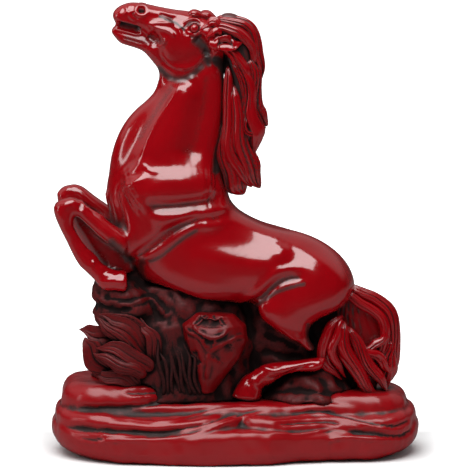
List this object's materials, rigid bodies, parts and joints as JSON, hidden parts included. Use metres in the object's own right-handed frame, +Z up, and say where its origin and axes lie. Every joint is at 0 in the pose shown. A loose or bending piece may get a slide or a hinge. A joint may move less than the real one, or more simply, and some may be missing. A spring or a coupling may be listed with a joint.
{
  "type": "horse figurine",
  "caption": "Rearing horse figurine in glossy red cast resin, on a rocky plinth with a boulder, leaves and grass.",
  "frame": {"origin": "middle of the underside of the felt pad that the figurine rests on", "axes": "+Z up; +X along the plinth from the horse's forelegs towards its tail, so that the horse faces -X; +Y from the horse's near (left) side to its far side, away from the camera"},
  "size_m": [0.1608, 0.078, 0.2],
  "materials": {
    "red_resin": "deep red, high gloss, with a dark brown patina in the creases",
    "base_felt": "matt felt"
  },
  "bodies": {
    "root": {"back_rock": "red_resin", "barrel": "red_resin", "boulder": "red_resin", "ear_far": "red_resin", "ear_near": "red_resin", "eye_far": "red_resin", "eye_near": "red_resin", "felt_pad": "base_felt", "fore_cannon_far": "red_resin", "fore_cannon_near": "red_resin", "fore_hoof_far": "red_resin", "fore_hoof_near": "red_resin", "fore_rock": "red_resin", "fore_web": "red_resin", "forearm_far": "red_resin", "forearm_near": "red_resin", "forelock": "red_resin", "grass_blades": "red_resin", "haunch_far": "red_resin", "haunch_near": "red_resin", "haunch_rock": "red_resin", "head": "red_resin", "hind_cannon_far": "red_resin", "hind_cannon_near": "red_resin", "hind_hoof_far": "red_resin", "hind_hoof_near": "red_resin", "leaf_foot": "red_resin", "leaf_low": "red_resin", "leaf_side": "red_resin", "leaf_top": "red_resin", "leaf_upright": "red_resin", "lower_jaw": "red_resin", "mane": "red_resin", "mane_lock_crown": "red_resin", "mane_lock_lower": "red_resin", "mane_lock_middle": "red_resin", "mane_lock_upper": "red_resin", "mane_lock_withers": "red_resin", "mouth_web": "red_resin", "neck": "red_resin", "neck_muscle_far": "red_resin", "neck_muscle_near": "red_resin", "plinth_block_left": "red_resin", "plinth_block_right": "red_resin", "plinth_deck": "red_resin", "plinth_shelf_left": "red_resin", "plinth_shelf_right": "red_resin", "plinth_slab": "red_resin", "shoulder_far": "red_resin", "shoulder_near": "red_resin", "support_rock": "red_resin", "tail_arch": "red_resin", "tail_lock_curl": "red_resin", "tail_lock_fan": "red_resin", "tail_lock_heel": "red_resin", "tail_lock_sweep": "red_resin", "tail_web": "red_resin"}
  },
  "joints": []
}
